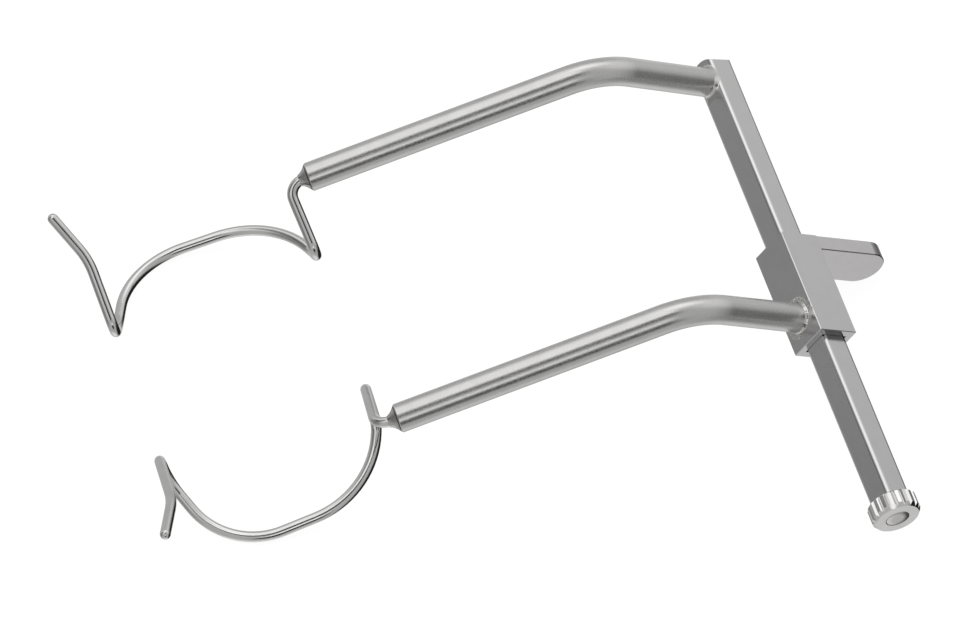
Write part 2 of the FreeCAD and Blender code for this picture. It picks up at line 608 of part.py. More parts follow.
def make_arm(label, foot, foot_text, arm_y_text):
    """A round rod that stands on its foot, bends once at the knee and is drilled for the wire."""
    body = new_body(label)
    section = new_sketch(body, label + "_section", "YZ_Plane")
    section.AttachmentOffset = FreeCAD.Placement(FreeCAD.Vector(0, 0, 0),
                                                 FreeCAD.Rotation(X_AXIS, -size("arm_rise")))
    section.setExpression("AttachmentOffset.Base.x", arm_y_text)
    section.setExpression("AttachmentOffset.Rotation.Angle", "-dims.arm_rise * 1 deg")
    circle(section, arm_radius, "dims.arm_diameter / 2")
    line = new_sketch(body, label + "_centre_line", "XZ_Plane", "-(%s)" % arm_y_text)
    bend = math.radians(size("arm_drop") + size("arm_rise"))
    tangent = size("knee_radius") * math.tan(bend / 2)
    start = FreeCAD.Vector(0, 0, 0)
    corner = FreeCAD.Vector(knee.x, knee.z, 0)
    into = (corner - start).normalize()
    onward = FreeCAD.Vector(ARM_AXIS.x, ARM_AXIS.z, 0)
    bend_start = corner - into * tangent
    bend_end = corner + onward * tangent
    tip = FreeCAD.Vector(arm_tip.x, arm_tip.z, 0)
    centre = bend_start + FreeCAD.Vector(into.y, -into.x, 0) * size("knee_radius")
    first_angle = math.atan2(bend_end.y - centre.y, bend_end.x - centre.x)
    last_angle = math.atan2(bend_start.y - centre.y, bend_start.x - centre.x)
    line.addGeometry(Part.LineSegment(start, bend_start), False)
    knee_circle = Part.Circle(centre, Z_AXIS, size("knee_radius"))
    line.addGeometry(Part.ArcOfCircle(knee_circle, first_angle, last_angle), False)
    line.addGeometry(Part.LineSegment(bend_end, tip), False)
    line.addConstraint(Sketcher.Constraint("Tangent", 0, 2, 1, 2))
    line.addConstraint(Sketcher.Constraint("Tangent", 1, 1, 2, 1))
    line.addConstraint(Sketcher.Constraint("Coincident", 0, 1, -1, 1))
    hold(line, "dims.arm_rise * 1 deg", "Angle", 0, math.radians(size("arm_rise")))
    hold(line, "-dims.arm_drop * 1 deg", "Angle", 2, -math.radians(size("arm_drop")))
    hold(line, "dims.knee_radius", "Radius", 1, size("knee_radius"))
    hold(line, TIP_X, "DistanceX", -1, 1, 2, 2, tip.x)
    hold(line, TIP_Z, "DistanceY", -1, 1, 2, 2, tip.y)
    doc.recompute()
    rod = body.newObject("PartDesign::AdditivePipe", label + "_rod")
    rod.Profile = section
    rod.Spine = (line, ["Edge1", "Edge2", "Edge3"])
    doc.recompute()
    far_edge = edges_where(rod.Shape, lambda edge: edge.Closed and edge.CenterOfMass.x > knee.x)
    dress(body, "Chamfer", label + "_tip_break", rod, far_edge, "dims.arm_tip_break")
    # The foot is cut flat, to stand on the face that carries it.
    flat = new_sketch(body, label + "_foot_circle", "YZ_Plane", foot_text)
    flat.setExpression("AttachmentOffset.Base.x", arm_y_text)
    circle(flat, size("arm_diameter"), "dims.arm_diameter")
    pocket(body, label + "_foot_flat", flat, "dims.slider_width", False)
    # The socket for the wire is turned out along the rod's own line.
    socket = new_sketch(body, label + "_socket_profile", "XZ_Plane")
    turned = FreeCAD.Rotation(Z_AXIS, -size("arm_drop"))
    socket.AttachmentOffset = FreeCAD.Placement(tip, turned)
    socket.setExpression("AttachmentOffset.Base.x", TIP_X)
    socket.setExpression("AttachmentOffset.Base.y", TIP_Z)
    socket.setExpression("AttachmentOffset.Base.z", "-(%s)" % arm_y_text)
    socket.setExpression("AttachmentOffset.Rotation.Angle", "-dims.arm_drop * 1 deg")
    depth = size("socket_depth")
    bore = size("wire_diameter") / 2 + size("socket_clearance")
    bore_text = "dims.wire_diameter / 2 + dims.socket_clearance"
    outline(socket, [
        (-depth, 0, "-dims.socket_depth", "0"),
        (arm_radius, 0, "dims.arm_diameter / 2", "0"),
        (arm_radius, bore, "dims.arm_diameter / 2", bore_text),
        (-depth, bore, "-dims.socket_depth", bore_text)])
    before = body.Shape.Volume
    drill = body.newObject("PartDesign::Groove", label + "_socket")
    drill.Profile = socket
    drill.ReferenceAxis = (socket, ["H_Axis"])
    drill.Angle = 360
    doc.recompute()
    if not body.Shape.Volume < before - 1e-6:
        raise ValueError(label + " has no socket")
    return body


def make_arm_bead(label, foot, foot_text, arm_y_text, over_rail_edge):
    """The bead of braze round an arm's foot. On the rail it also fills in over the rounded edges."""
    body = new_body(label)
    profile = new_sketch(body, label + "_profile", "XY_Plane")
    profile.setExpression("AttachmentOffset.Base.y", arm_y_text)
    leg = size(label + "_leg")
    leg_text = "dims.%s_leg" % label
    inner = arm_radius + size("arm_bead_gap")
    outer = inner + leg
    inner_text = "dims.arm_diameter / 2 + dims.arm_bead_gap"
    outer_text = inner_text + " + " + leg_text
    corners = [
        (foot + leg, inner, foot_text + " + " + leg_text, inner_text),
        (foot, inner, foot_text, inner_text)]
    if over_rail_edge:
        back = foot - size("rail_edge_round")
        back_text = foot_text + " - dims.rail_edge_round"
        corners.extend([
            (foot, 0, foot_text, "0"),
            (back, 0, back_text, "0"),
            (back, outer, back_text, outer_text)])
    corners.append((foot, outer, foot_text, outer_text))
    outline(profile, corners)
    revolve(body, label + "_ring", profile, "H_Axis")
    if over_rail_edge:
        room = new_sketch(body, label + "_rail_room", "XZ_Plane", "dims.rail_width")
        rail_section(room)
        pocket(body, label + "_rail_cut", room, "dims.rail_length", False)
    return body


def blade_corners(name, arm_y, side):
    """The corners of the named blade's centre line with the bend radius at each.

    They are given along the arm's line, towards the other blade and square to both,
    from the centre of the arm's tip. side is +1 where the other blade lies towards +Y.
    """
    near = size("near_limb_reach")
    far = near + size("blade_width")
    bow = -size("bow_drop")
    slope = math.radians(size("leg_slope"))
    turn = math.radians(size(name + "_tip_turn"))
    tip_length = size(name + "_tip_length")
    leg_height = size("far_hook_height") - size("leg_length") * math.cos(slope)
    leg_drop = -size("far_hook_drop") + size("leg_length") * math.sin(slope)
    tip_run = tip_length * math.cos(turn)
    corners = [
        (-size("socket_depth"), 0, 0, 0),
        (size("root_bend_reach"), 0, 0, size("root_bend_radius")),
        (near, size("near_hook_height"), -size("near_hook_drop"), size("hook_radius")),
        (near + size("near_limb_inset"), size("near_limb_height"), -size("near_limb_drop"),
         size("near_limb_radius")),
        (near + size("near_corner_inset"), -size("near_corner_depth"), bow, size("near_corner_radius")),
        (far - size("far_corner_inset"), -size("far_corner_depth"), bow, size("far_corner_radius")),
        (far - size("far_limb_inset"), size("far_limb_height"), -size("far_limb_drop"),
         size("far_limb_radius")),
        (far, size("far_hook_height"), -size("far_hook_drop"), size("hook_radius")),
        (far, leg_height, leg_drop, size("leg_knee_radius")),
        (far + tip_length * math.sin(turn), leg_height - tip_run * math.cos(slope),
         leg_drop + tip_run * math.sin(slope), 0)]
    foot = FreeCAD.Vector(arm_tip.x, arm_y, arm_tip.z)
    return [(foot + ARM_AXIS * along + Y_AXIS * side * across + ARM_NORMAL * up, radius)
            for along, across, up, radius in corners]


def centre_line(corners):
    """Straight runs joined by tangent arcs, in one wire."""
    edges = []
    here = corners[0][0]
    for i in range(1, len(corners) - 1):
        corner, radius = corners[i]
        back = (corners[i - 1][0] - corner).normalize()
        onward = (corners[i + 1][0] - corner).normalize()
        half_angle = back.getAngle(onward) / 2
        tangent = radius / math.tan(half_angle)
        middle = (back + onward).normalize()
        arc_start = corner + back * tangent
        arc_end = corner + onward * tangent
        arc_middle = corner + middle * (radius / math.sin(half_angle) - radius)
        edges.append(Part.LineSegment(here, arc_start).toShape())
        edges.append(Part.Arc(arc_start, arc_middle, arc_end).toShape())
        here = arc_end
    edges.append(Part.LineSegment(here, corners[-1][0]).toShape())
    return Part.Wire(edges)


def make_blade(name, arm_y, side):
    """One wire blade: its straight root stands in the arm's socket and its free end is round."""
    corners = blade_corners(name, arm_y, side)
    root = corners[0][0]
    tip = corners[-1][0]
    wire = size("wire_diameter") / 2
    section = Part.Face(Part.Wire([Part.Circle(root, corners[1][0] - root, wire).toShape()]))
    rod = centre_line(corners).makePipe(section)
    blade = doc.addObject("Part::Feature", name + "_blade")
    blade.Label = name + "_blade"
    blade.Shape = rod.fuse(Part.makeSphere(wire, tip))
    return blade


def make_root_braze(label, arm_y, blade):
    """The cone of braze that leads from the arm's tip to the wire."""
    foot = FreeCAD.Vector(arm_tip.x, arm_y, arm_tip.z)
    base = arm_radius - size("arm_tip_break")
    lip = size("wire_diameter") / 2 + size("root_cone_lip")
    braze = doc.addObject("Part::Feature", label)
    braze.Label = label
    braze.Shape = Part.makeCone(base, lip, size("root_cone_length"), foot, ARM_AXIS).cut(blade.Shape)
    return braze


assembly = [
    make_rail(),
    make_knob_bearing(),
    make_thrust_washer(),
    make_slider(),
    make_drive_nut(),
    make_nut_pin(),
    make_thumb_rest(),
    make_thumb_rest_bead(),
    make_lead_screw(),
    make_screw_collar(),
    make_knob(),
    make_arm("fixed_arm", half_rail, HALF_RAIL, FIXED_ARM_Y),
    make_arm("moving_arm", half_slider, HALF_SLIDER, MOVING_ARM_Y),
    make_arm_bead("fixed_arm_bead", half_rail, HALF_RAIL, FIXED_ARM_Y, True),
    make_arm_bead("moving_arm_bead", half_slider, HALF_SLIDER, MOVING_ARM_Y, False),
]
for name, arm_y, side in [("fixed", fixed_arm_y, 1), ("moving", moving_arm_y, -1)]:
    blade = make_blade(name, arm_y, side)
    assembly.append(blade)
    assembly.append(make_root_braze(name + "_blade_braze", arm_y, blade))
doc.recompute()


def resting_tilt():
    """The tilt, in degrees, at which the thumb rest and the blades' bows touch a tray together."""
    blade_line = centre_line(blade_corners("fixed", fixed_arm_y, 1)).discretize(400)
    low = 0.0
    high = math.pi / 2
    for _ in range(40):
        tilt = (low + high) / 2
        bows = min(point.x * math.sin(tilt) + point.z * math.cos(tilt) for point in blade_line)
        rest = -size("thumb_reach") * math.sin(tilt)
        if bows - size("wire_diameter") / 2 < rest - half_slider:
            low = tilt
        else:
            high = tilt
    return math.degrees(tilt)


# The assembly is tilted about the rail's length until it lies as on a tray,
# and centred with its lowest point on the ground.
tilt = FreeCAD.Placement(FreeCAD.Vector(0, 0, 0), FreeCAD.Rotation(Y_AXIS, -resting_tilt()))
extent = FreeCAD.BoundBox()
for piece in assembly:
    lying = piece.Shape.copy()
    lying.Placement = tilt.multiply(lying.Placement)
    extent.add(lying.optimalBoundingBox(False, False))
ground = FreeCAD.Vector(-extent.Center.x, -extent.Center.y, -extent.ZMin)
for piece in assembly:
    piece.Placement = FreeCAD.Placement(ground, FreeCAD.Rotation()).multiply(tilt).multiply(piece.Placement)
doc.recompute()

for feature in doc.Objects:
    if "Invalid" in feature.State or "Error" in feature.State:
        raise ValueError("%s failed: %s" % (feature.Label, feature.State))
os.makedirs("parts", exist_ok=True)
for piece in assembly:
    if piece.Shape.isNull() or not piece.Shape.isValid() or len(piece.Shape.Solids) != 1:
        raise ValueError(piece.Label + " is not one valid solid")
    piece.Shape.exportStep("parts/%s.step" % piece.Label)
    box = piece.Shape.optimalBoundingBox(False, False)
    print("%-20s %9.3f mm3  x %7.2f %7.2f  y %7.2f %7.2f  z %7.2f %7.2f" % (
        piece.Label, piece.Shape.Volume, box.XMin, box.XMax, box.YMin, box.YMax, box.ZMin, box.ZMax))
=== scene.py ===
import json
import math

import bmesh
import bpy
from mathutils import Matrix, Vector, noise


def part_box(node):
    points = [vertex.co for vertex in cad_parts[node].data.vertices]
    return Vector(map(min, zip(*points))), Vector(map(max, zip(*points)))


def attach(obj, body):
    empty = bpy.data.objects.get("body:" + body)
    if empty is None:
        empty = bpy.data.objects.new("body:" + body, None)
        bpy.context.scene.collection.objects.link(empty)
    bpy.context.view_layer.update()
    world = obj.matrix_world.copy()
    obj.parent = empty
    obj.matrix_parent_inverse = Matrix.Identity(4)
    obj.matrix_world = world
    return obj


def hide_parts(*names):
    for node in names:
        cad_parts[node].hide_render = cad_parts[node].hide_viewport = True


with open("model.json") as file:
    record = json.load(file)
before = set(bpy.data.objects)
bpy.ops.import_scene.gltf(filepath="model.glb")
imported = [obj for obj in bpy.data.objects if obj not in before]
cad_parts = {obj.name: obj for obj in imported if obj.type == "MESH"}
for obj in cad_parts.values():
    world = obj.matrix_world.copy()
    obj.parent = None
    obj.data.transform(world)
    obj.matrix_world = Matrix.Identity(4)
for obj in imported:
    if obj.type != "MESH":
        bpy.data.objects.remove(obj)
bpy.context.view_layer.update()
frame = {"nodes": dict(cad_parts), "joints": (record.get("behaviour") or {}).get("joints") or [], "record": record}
mm = 0.001

# The instrument lies tilted on the tray, on the tip of its thumb rest and the bows of both
# blades. Its own axes are across to the arms, along the rail to the knob, and straight off
# the rail's light upper face; "laid" turns a place in them into its place on the tray.
rail_length = 47.2 * mm
mounts = {mount["name"]: mount for mount in frame["record"]["mounts"]}
knob_joint = [joint for joint in frame["joints"] if joint["name"] == "knob_turn"][0]
light_way = Vector(mounts["slider_face"]["axis"])
along_rail = Vector((0, 1, 0))
arms_way = along_rail.cross(light_way)
rail_start = Vector((knob_joint["pos_m"][0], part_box("rail")[1].y - rail_length, knob_joint["pos_m"][2]))
laid = Matrix.Translation(rail_start) @ Matrix((arms_way, along_rail, light_way)).transposed().to_4x4()

# The camera stands over the tray with a long lens, which keeps the two arms parallel. Its
# place, its aim and the side of the picture are given on the instrument's axes, and were
# worked out by a program from the straight edges of the rail and the slider.
camera_place = Vector((0.38281, 0.31544, 0.35078))
camera_aim = Vector((0.03714, 0.03044, 0.0))
camera_side = Vector((-0.79082, 0.30878, 0.52845))
camera_back = (camera_place - camera_aim).normalized()
camera_up = camera_back.cross(camera_side).normalized()
camera_axes = Matrix((camera_up.cross(camera_back), camera_up, camera_back)).transposed().to_4x4()
camera_data = bpy.data.cameras.new("camera")
camera_data.sensor_width = 36
camera_data.lens = 251.2
camera_data.clip_start = 0.01
camera = bpy.data.objects.new("camera", camera_data)
camera.matrix_world = laid @ Matrix.Translation(camera_place) @ camera_axes
bpy.context.collection.objects.link(camera)
bpy.context.scene.camera = camera
bpy.context.scene.view_settings.view_transform = "Standard"

# The tray is covered with white paper. It keeps a soft grey shadow under the instrument,
# and the steel mirrors the tent below it rather than the paper.
paper_mesh = bpy.data.meshes.new("tray_paper")
paper_form = bmesh.new()
bmesh.ops.create_grid(paper_form, x_segments=1, y_segments=1, size=2)
paper_form.to_mesh(paper_mesh)
paper_form.free()
paper = bpy.data.objects.new("tray_paper", paper_mesh)
bpy.context.collection.objects.link(paper)
paper.visible_glossy = False
paper_whiteness = 0.9
paper_look = bpy.data.materials.new("white_paper")
paper_look.use_nodes = True
paper_nodes = paper_look.node_tree.nodes
paper_links = paper_look.node_tree.links
paper_matt = paper_nodes["Principled BSDF"]
paper_matt.inputs["Base Color"].default_value = (0.93, 0.93, 0.93, 1)
paper_matt.inputs["Roughness"].default_value = 0.9
paper_matt.inputs["Specular IOR Level"].default_value = 0.1
paper_white = paper_nodes.new("ShaderNodeEmission")
paper_white.inputs["Strength"].default_value = 1.05
paper_seen = paper_nodes.new("ShaderNodeMixShader")
paper_ray = paper_nodes.new("ShaderNodeLightPath")
paper_share = paper_nodes.new("ShaderNodeMath")
paper_share.operation = "MULTIPLY"
paper_share.inputs[1].default_value = paper_whiteness
paper_links.new(paper_ray.outputs["Is Camera Ray"], paper_share.inputs[0])
paper_links.new(paper_share.outputs[0], paper_seen.inputs[0])
paper_links.new(paper_matt.outputs[0], paper_seen.inputs[1])
paper_links.new(paper_white.outputs[0], paper_seen.inputs[2])
paper_links.new(paper_seen.outputs[0], paper_nodes["Material Output"].inputs["Surface"])
paper_mesh.materials.append(paper_look)

# A white tent stands round the tray, which the steel mirrors: bright overhead at the back,
# pale at the left and below, and dim at the front round the lens and at the right.
tent_brightness = 0.69
# Each patch has its azimuth, elevation and half width in degrees, and what it adds. They were
# not set by hand: a least-squares program fitted them to the light seen on the steel, and
# they were then scaled and a few changed.
tent_patches = [
    ("back_softbox", -45, 54, 50, 0.93),
    ("left_wall", -162, 29, 44, 0.41),
    ("lit_table", 66, -61, 38, 0.52),
    ("dim_front", 173, -29, 58, -1.2),
    ("roof_lamp", -100, 88, 10, 1.36),
    ("dim_right", -9, -1, 42, -0.36),
    ("front_glint", 83, 38, 13, 1.15),
    ("front_gap", 83, 14, 20, -1.55),
    ("lens_hood", 78, 75, 19, -1.15),
    ("lit_floor", -139, -34, 45, 0.29),
    ("back_strip", -120, 49, 23, 0.87),
    ("right_gap", -35, 40, 32, -1.24),
]
tent = bpy.data.worlds.new("white_tent")
tent.use_nodes = True
bpy.context.scene.world = tent
tent_nodes = tent.node_tree.nodes
tent_links = tent.node_tree.links
tent_nodes.clear()
tent_way = tent_nodes.new("ShaderNodeTexCoord")
tent_total = None
for patch_name, azimuth, elevation, half_width, amount in tent_patches:
    level = math.cos(math.radians(elevation))
    nearness = tent_nodes.new("ShaderNodeVectorMath")
    nearness.name = patch_name
    nearness.operation = "DOT_PRODUCT"
    nearness.inputs[1].default_value = (level * math.cos(math.radians(azimuth)),
                                        level * math.sin(math.radians(azimuth)),
                                        math.sin(math.radians(elevation)))
    tent_links.new(tent_way.outputs["Generated"], nearness.inputs[0])
    patch = tent_nodes.new("ShaderNodeMapRange")
    patch.interpolation_type = "SMOOTHSTEP"
    patch.inputs["From Min"].default_value = math.cos(math.radians(half_width))
    patch.inputs["From Max"].default_value = 1
    patch.inputs["To Max"].default_value = amount
    tent_links.new(nearness.outputs["Value"], patch.inputs["Value"])
    together = tent_nodes.new("ShaderNodeMath")
    together.inputs[1].default_value = tent_brightness
    if tent_total:
        tent_links.new(tent_total, together.inputs[1])
    tent_links.new(patch.outputs["Result"], together.inputs[0])
    tent_total = together.outputs[0]
tent_floor = tent_nodes.new("ShaderNodeMath")
tent_floor.operation = "MAXIMUM"
tent_floor.inputs[1].default_value = 0.02
tent_links.new(tent_total, tent_floor.inputs[0])
tent_light = tent_nodes.new("ShaderNodeBackground")
tent_links.new(tent_floor.outputs[0], tent_light.inputs["Strength"])
tent_white = tent_nodes.new("ShaderNodeBackground")
tent_ray = tent_nodes.new("ShaderNodeLightPath")
tent_seen = tent_nodes.new("ShaderNodeMixShader")
tent_links.new(tent_ray.outputs["Is Camera Ray"], tent_seen.inputs[0])
tent_links.new(tent_light.outputs[0], tent_seen.inputs[1])
tent_links.new(tent_white.outputs[0], tent_seen.inputs[2])
tent_output = tent_nodes.new("ShaderNodeOutputWorld")
tent_links.new(tent_seen.outputs[0], tent_output.inputs["Surface"])

# One wide lamp hangs behind the tray. The tent gives the steel its bands of light, so the
# lamp is kept out of the steel and only lays the soft shadow on the paper.
lamp_data = bpy.data.lights.new("back_lamp", "AREA")
lamp_data.shape = "DISK"
lamp_data.size = 0.6
lamp_data.energy = 3
lamp = bpy.data.objects.new("back_lamp", lamp_data)
lamp.visible_glossy = False
lamp_place = Vector((0.12, -0.3, 0.62))
lamp.matrix_world = Matrix.Translation(lamp_place) @ lamp_place.to_track_quat("Z", "Y").to_matrix().to_4x4()
bpy.context.collection.objects.link(lamp)


# The rail is a square bar of stainless steel, ground along its length and milled from below
# for the screw. Its long edges are rounded over. One pit beside the fixed arm is painted into its colour as a dark
# spot of shade.
def steel_finish(name, colour, roughness, grain, depth, cloud=0.05, lay="ground"):
    """Stainless steel with fine tool marks. grain is their size in metres: across the piece,
    along it and off it. They lie on the instrument's axes where it was ground, on the rod as
    it was before its bend where it was drawn, and in rings about the screw where turned."""
    look = bpy.data.materials.new(name)
    look.use_nodes = True
    parts = look.node_tree.nodes
    wires = look.node_tree.links
    steel = parts["Principled BSDF"]
    steel.inputs["Metallic"].default_value = 1
    spread = parts.new("ShaderNodeMapping")
    spread.vector_type = "TEXTURE"
    if lay == "drawn":
        place = parts.new("ShaderNodeAttribute")
        place.attribute_name = "drawn"
        whole = place.outputs["Vector"]
    else:
        place = parts.new("ShaderNodeTexCoord")
        whole = place.outputs["Object"]
        spread.inputs["Location"].default_value = rail_start
        spread.inputs["Rotation"].default_value = laid.to_euler()
    wires.new(whole, spread.inputs["Vector"])
    marked = spread.outputs["Vector"]
    if lay == "turned":
        split = parts.new("ShaderNodeSeparateXYZ")
        wires.new(spread.outputs["Vector"], split.inputs[0])
        flat = parts.new("ShaderNodeCombineXYZ")
        wires.new(split.outputs["X"], flat.inputs["X"])
        wires.new(split.outputs["Z"], flat.inputs["Y"])
        radius = parts.new("ShaderNodeVectorMath")
        radius.operation = "LENGTH"
        wires.new(flat.outputs[0], radius.inputs[0])
        ring = parts.new("ShaderNodeCombineXYZ")
        wires.new(radius.outputs["Value"], ring.inputs["X"])
        wires.new(split.outputs["Y"], ring.inputs["Y"])
        marked = ring.outputs[0]
    else:
        spread.inputs["Scale"].default_value = grain
    scratches = parts.new("ShaderNodeTexNoise")
    scratches.inputs["Scale"].default_value = 1 / grain[0] if lay == "turned" else 1
    scratches.inputs["Detail"].default_value = 3
    scratches.inputs["Roughness"].default_value = 0.6
    wires.new(marked, scratches.inputs["Vector"])
    clouds = parts.new("ShaderNodeTexNoise")
    clouds.inputs["Scale"].default_value = 700
    clouds.inputs["Detail"].default_value = 2
    wires.new(whole, clouds.inputs["Vector"])
    tone = parts.new("ShaderNodeMath")
    wires.new(scratches.outputs["Fac"], tone.inputs[0])
    wires.new(clouds.outputs["Fac"], tone.inputs[1])
    shade = parts.new("ShaderNodeMapRange")
    shade.inputs["From Min"].default_value = 0.7
    shade.inputs["From Max"].default_value = 1.3
    wires.new(tone.outputs[0], shade.inputs["Value"])
    colours = parts.new("ShaderNodeMix")
    colours.data_type = "RGBA"
    colours.inputs["A"].default_value = [c * (1 - cloud) for c in colour] + [1]
    colours.inputs["B"].default_value = [c * (1 + cloud) for c in colour] + [1]
    wires.new(shade.outputs["Result"], colours.inputs["Factor"])
    wires.new(colours.outputs["Result"], steel.inputs["Base Color"])
    sheen = parts.new("ShaderNodeMapRange")
    sheen.inputs["From Min"].default_value = 0.3
    sheen.inputs["From Max"].default_value = 0.7
    sheen.inputs["To Min"].default_value = roughness * 0.85
    sheen.inputs["To Max"].default_value = roughness * 1.15
    wires.new(scratches.outputs["Fac"], sheen.inputs["Value"])
    wires.new(sheen.outputs["Result"], steel.inputs["Roughness"])
    bump = parts.new("ShaderNodeBump")
    bump.inputs["Distance"].default_value = depth
    wires.new(scratches.outputs["Fac"], bump.inputs["Height"])
    wires.new(bump.outputs["Normal"], steel.inputs["Normal"])
    return look


def paint_pit_shade(look, place, radius):
    """Paint the shade of one small pit into a finish's colour as a dark spot, at a place in millimetres on the
    instrument's axes.
    """
    parts = look.node_tree.nodes
    wires = look.node_tree.links
    steel = parts["Principled BSDF"]
    sound = steel.inputs["Base Color"].links[0].from_socket
    here = parts.new("ShaderNodeTexCoord")
    away = parts.new("ShaderNodeVectorMath")
    away.operation = "DISTANCE"
    away.inputs[1].default_value = laid @ (Vector(place) * mm)
    wires.new(here.outputs["Object"], away.inputs[0])
    hollow = parts.new("ShaderNodeMapRange")
    hollow.interpolation_type = "SMOOTHSTEP"
    hollow.inputs["From Min"].default_value = radius * 0.3 * mm
    hollow.inputs["From Max"].default_value = radius * mm
    hollow.inputs["To Min"].default_value = 1
    hollow.inputs["To Max"].default_value = 0
    wires.new(away.outputs["Value"], hollow.inputs["Value"])
    pit_shaded = parts.new("ShaderNodeMix")
    pit_shaded.data_type = "RGBA"
    # The pit's painted shade: near black at its middle, fading out at its radius.
    pit_shaded.inputs["B"].default_value = (0.03, 0.03, 0.03, 1)
    wires.new(hollow.outputs["Result"], pit_shaded.inputs["Factor"])
    wires.new(sound, pit_shaded.inputs["A"])
    wires.new(pit_shaded.outputs["Result"], steel.inputs["Base Color"])


def give_finish(names, look):
    """Put one finish on whole solids of the frame."""
    for name in names:
        for slot in frame["nodes"][name].material_slots:
            slot.material = look


ground_rail = steel_finish("ground_rail", (0.63, 0.625, 0.625), 0.2, (0.1 * mm, 4 * mm, 0.1 * mm),
                           0.0001 * mm, cloud=0.02)
# Painted shade: a near-black spot stands for the shade in one small pit beside the fixed arm.
paint_pit_shade(ground_rail, (1.3, 0.57, 0.54), 0.11)
give_finish(["rail"], ground_rail)

# The slider is a square sleeve of the same steel, broached to the rail's square and ground
# smooth on its faces with the thumb rest's plate. The shade of one pit where plate and sleeve meet is painted into
# both colours as a dark spot.
ground_sleeve = steel_finish("ground_sleeve", (0.63, 0.625, 0.63), 0.19, (0.1 * mm, 5 * mm, 0.1 * mm),
                             0.0001 * mm, cloud=0.02)
ground_plate = steel_finish("ground_plate", (0.65, 0.635, 0.635), 0.22, (0.6 * mm, 0.3 * mm, 0.1 * mm),
                            0.0002 * mm, cloud=0.03)
# Painted shade: a near-black spot in both finishes stands for the shade in one pit where plate and sleeve meet.
for ground in (ground_sleeve, ground_plate):
    paint_pit_shade(ground, (-2.06, 21.6, 2.0), 0.13)
give_finish(["slider_sleeve"], ground_sleeve)
give_finish(["thumb_rest"], ground_plate)

# The screw's bearing, nut and pin are cut from stainless bar and its washer and collar are
# turned. The bearing closes the end of the rail's channel, and the nut slides in it.
cut_steel = steel_finish("cut_steel", (0.5, 0.49, 0.48), 0.34, (0.08 * mm, 0.3 * mm, 0.08 * mm),
                         0.0015 * mm)
give_finish(["knob_bearing", "drive_nut", "nut_pin"], cut_steel)
ring_steel = steel_finish("ring_steel", (0.52, 0.51, 0.5), 0.3, (0.05 * mm,) * 3, 0.0008 * mm, lay="turned")
give_finish(["thrust_washer", "screw_collar"], ring_steel)

# The knob is turned from bar, fluted with a bright cutter and faced to a satin end, where
# the tool's rings about the screw's line can still be seen.
bright_knob = steel_finish("bright_knob", (0.72, 0.715, 0.71), 0.13, (0.06 * mm,) * 3, 0.0006 * mm,
                           lay="turned")
give_finish(["knob"], bright_knob)

# Each blade is one length of drawn stainless wire, bent cold over pegs and buffed bright
# before its root is brazed into the arm's tip.
blade_wire = steel_finish("blade_wire", (0.66, 0.655, 0.65), 0.16, (0.16 * mm,) * 3, 0.001 * mm)
give_finish(["fixed_blade", "moving_blade"], blade_wire)


# The arms are round rod, drawn straight, bent once at the knee over a former, blasted to a
# fine satin and wiped along their length. The grain follows the rod through its bend.
def place_piece(name, form, body, look, setback=0.0):
    """Set a finished form down on the tray, slid along the rail, and let it ride on a body."""
    bmesh.ops.remove_doubles(form, verts=form.verts[:], dist=meeting)
    bmesh.ops.recalc_face_normals(form, faces=form.faces[:])
    bmesh.ops.transform(form, matrix=laid @ Matrix.Translation((0, setback, 0)), verts=form.verts[:])
    mesh = bpy.data.meshes.new(name)
    form.to_mesh(mesh)
    form.free()
    mesh.materials.append(look)
    mesh.shade_smooth()
    mesh.set_sharp_from_angle(angle=sharp_corner)
    piece = bpy.data.objects.new(name, mesh)
    bpy.context.collection.objects.link(piece)
    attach(piece, body)
    return piece


rod_radius = 1.3 * mm
rod_rise = math.radians(0.72)
rod_drop = math.radians(43.7)
rod_reach = 13.6 * mm
knee_radius = 7.8 * mm
forearm = 27.4 * mm
rod_tip_break = 0.08 * mm
knee_steps = 40
meeting = 0.0005 * mm
sharp_corner = math.radians(38)
knee_turn = rod_rise + rod_drop
knee_tangent = knee_radius * math.tan(knee_turn / 2)
rod_out = Vector((math.cos(rod_rise), 0, math.sin(rod_rise)))
rod_down = Vector((math.cos(rod_drop), 0, -math.sin(rod_drop)))
knee_corner = Vector((rod_reach, 0, rod_reach * math.tan(rod_rise)))
knee_start = knee_corner - rod_out * knee_tangent
knee_centre = knee_start + Vector((rod_out.z, 0, -rod_out.x)) * knee_radius
knee_end = knee_corner + rod_down * knee_tangent
rod_tip = knee_corner + rod_down * forearm


def before_the_bend(place):
    """Where a point of a bent rod was on the straight rod: along it, across it and above it."""
    straight = knee_start.length
    past_start = (place - knee_start).dot(rod_out)
    past_end = (place - knee_end).dot(rod_down)
    if past_start < 0:
        return Vector((straight + past_start, place.y, -(place - knee_start).cross(rod_out).y))
    if past_end > 0:
        return Vector((straight + knee_radius * knee_turn + past_end, place.y,
                       -(place - knee_end).cross(rod_down).y))
    spoke = place - knee_centre
    turned = math.atan2(spoke.dot(rod_out), spoke.dot(Vector((-rod_out.z, 0, rod_out.x))))
    return Vector((straight + knee_radius * turned, place.y, math.hypot(spoke.x, spoke.z) - knee_radius))


